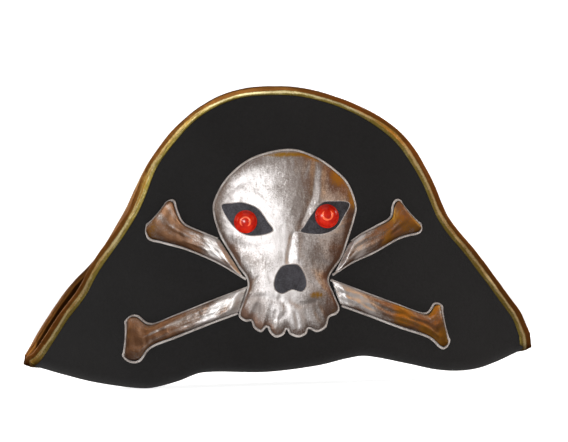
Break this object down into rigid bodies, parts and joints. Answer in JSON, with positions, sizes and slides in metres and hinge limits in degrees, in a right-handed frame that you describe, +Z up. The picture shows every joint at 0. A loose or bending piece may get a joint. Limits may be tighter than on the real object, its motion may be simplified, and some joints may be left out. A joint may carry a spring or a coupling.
{
  "type": "pirate hat",
  "caption": "Bicorn costume hat with two upturned bound flaps round a soft crown, a padded skull and crossbones emblem and domed red eyes.",
  "frame": {"origin": "centre of the head opening, at the height of the brim's crease at the front", "axes": "+X to the wearer's left tip, along the length of the brim; +Y to the wearer's back; +Z up out of the head"},
  "size_m": [0.44, 0.224, 0.2573],
  "materials": {
    "felt": "matte black brushed felt",
    "foam": "fine open-cell foam",
    "lining": "plain woven polyester lining",
    "gold_lame": "crumpled metallic gold lame",
    "silver_lame": "crumpled metallic silver lame",
    "satin_thread": "glossy silver-grey embroidery thread",
    "wadding": "polyester wadding",
    "dark_patch": "charcoal coated fabric with a soft gloss",
    "red_plastic": "clear red moulded plastic",
    "washer_plastic": "black moulded plastic",
    "sweatband": "ribbed black grosgrain",
    "tape": "folded black cotton tape"
  },
  "bodies": {
    "crown": {"crown_side": "felt", "crown_top": "felt", "sweatband": "sweatband", "crown_seam_tape": "tape", "brim_base_left": "felt", "brim_base_right": "felt"},
    "front_flap": {"front_flap_felt": "felt", "front_flap_foam": "foam", "front_flap_lining": "lining", "front_binding": "gold_lame", "skull_padding": "wadding", "skull_cover": "silver_lame", "skull_border": "satin_thread", "bone_1_padding": "wadding", "bone_2_padding": "wadding", "bone_3_padding": "wadding", "bone_4_padding": "wadding", "bone_1_cover": "silver_lame", "bone_2_cover": "silver_lame", "bone_3_cover": "silver_lame", "bone_4_cover": "silver_lame", "bone_1_border": "satin_thread", "bone_2_border": "satin_thread", "bone_3_border": "satin_thread", "bone_4_border": "satin_thread", "eye_patch_left": "dark_patch", "eye_patch_right": "dark_patch", "nose_patch": "dark_patch", "eye_dome_left": "red_plastic", "eye_dome_right": "red_plastic", "eye_washer_left": "washer_plastic", "eye_washer_right": "washer_plastic"},
    "rear_flap": {"rear_flap_felt": "felt", "rear_flap_foam": "foam", "rear_flap_lining": "lining", "rear_binding": "gold_lame"}
  },
  "joints": [
    {"name": "front_flap_flex", "type": "hinge", "parent": "crown", "child": "front_flap", "pos_m": [0, -0.10875, 0], "axis": [1, 0, 0], "range_deg": [0, 15], "stiffness_Nm_per_rad": 0.8},
    {"name": "rear_flap_flex", "type": "hinge", "parent": "crown", "child": "rear_flap", "pos_m": [0, 0.10875, 0], "axis": [-1, 0, 0], "range_deg": [0, 15], "stiffness_Nm_per_rad": 0.8}
  ]
}
